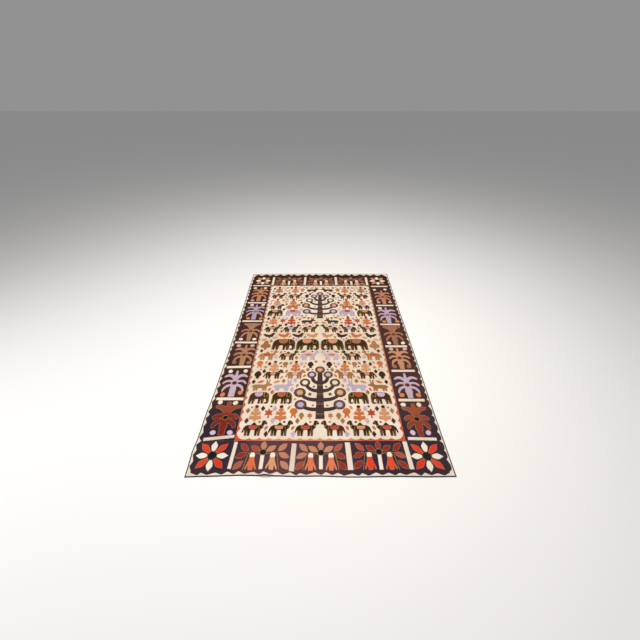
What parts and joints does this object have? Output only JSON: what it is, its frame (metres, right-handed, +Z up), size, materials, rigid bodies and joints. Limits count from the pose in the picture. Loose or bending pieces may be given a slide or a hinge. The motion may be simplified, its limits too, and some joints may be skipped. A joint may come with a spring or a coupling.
{
  "type": "kanduri cloth",
  "caption": "Cream cotton cloth spread flat, with a dark scalloped border of palm and flower patches and a field of sewn animal and tree patches.",
  "frame": {"origin": "on the surface that the cloth lies on, under the middle of its outline", "axes": "+X across the cloth, +Y along it from the near edge to the far edge, +Z up out of its face"},
  "size_m": [1.1997, 1.86, 0.0122],
  "materials": {
    "ground_cotton": "matt woven cotton",
    "binding_cotton": "matt woven cotton",
    "border_cotton": "matt woven cotton",
    "cream_cotton": "matt woven cotton",
    "red_cotton": "matt woven cotton",
    "terracotta_cotton": "matt woven cotton",
    "lilac_cotton": "matt woven cotton",
    "tan_cotton": "matt woven cotton",
    "orange_cotton": "matt woven cotton",
    "brown_cotton": "matt woven cotton"
  },
  "bodies": {
    "root": {"ground_cloth": "ground_cotton", "binding_near": "binding_cotton", "binding_far": "binding_cotton", "binding_left": "binding_cotton", "binding_right": "binding_cotton", "border_near": "border_cotton", "border_far": "border_cotton", "border_left": "border_cotton", "border_right": "border_cotton", "zigzag_near": "red_cotton", "zigzag_far": "tan_cotton", "zigzag_left": "terracotta_cotton", "zigzag_right": "terracotta_cotton", "bar_left_1": "cream_cotton", "bar_left_2": "cream_cotton", "bar_left_3": "cream_cotton", "bar_left_4": "cream_cotton", "bar_left_5": "cream_cotton", "bar_left_6": "cream_cotton", "bar_left_7": "cream_cotton", "bar_right_1": "cream_cotton", "bar_right_2": "cream_cotton", "bar_right_3": "cream_cotton", "bar_right_4": "cream_cotton", "bar_right_5": "cream_cotton", "bar_right_6": "cream_cotton", "bar_right_7": "cream_cotton", "bar_near_1": "cream_cotton", "bar_near_2": "cream_cotton", "bar_near_3": "cream_cotton", "bar_near_4": "cream_cotton", "bar_far_1": "cream_cotton", "bar_far_2": "cream_cotton", "bar_far_3": "cream_cotton", "bar_far_4": "cream_cotton", "palm_left_1": "terracotta_cotton", "palm_left_2": "lilac_cotton", "palm_left_3": "tan_cotton", "palm_left_4": "tan_cotton", "palm_left_5": "lilac_cotton", "palm_left_6": "orange_cotton", "palm_right_1": "terracotta_cotton", "palm_right_2": "lilac_cotton", "palm_right_3": "orange_cotton", "palm_right_4": "tan_cotton", "palm_right_5": "lilac_cotton", "palm_right_6": "orange_cotton", "corner_flower_near_left": "red_cotton", "corner_flower_near_right": "red_cotton", "corner_flower_far_left": "red_cotton", "corner_flower_far_right": "red_cotton", "spray_near_1": "terracotta_cotton", "spray_near_2": "terracotta_cotton", "spray_near_3": "terracotta_cotton", "spray_far_1": "terracotta_cotton", "spray_far_2": "terracotta_cotton", "spray_far_3": "terracotta_cotton", "tree_near": "brown_cotton", "tree_far": "brown_cotton"}
  },
  "joints": []
}
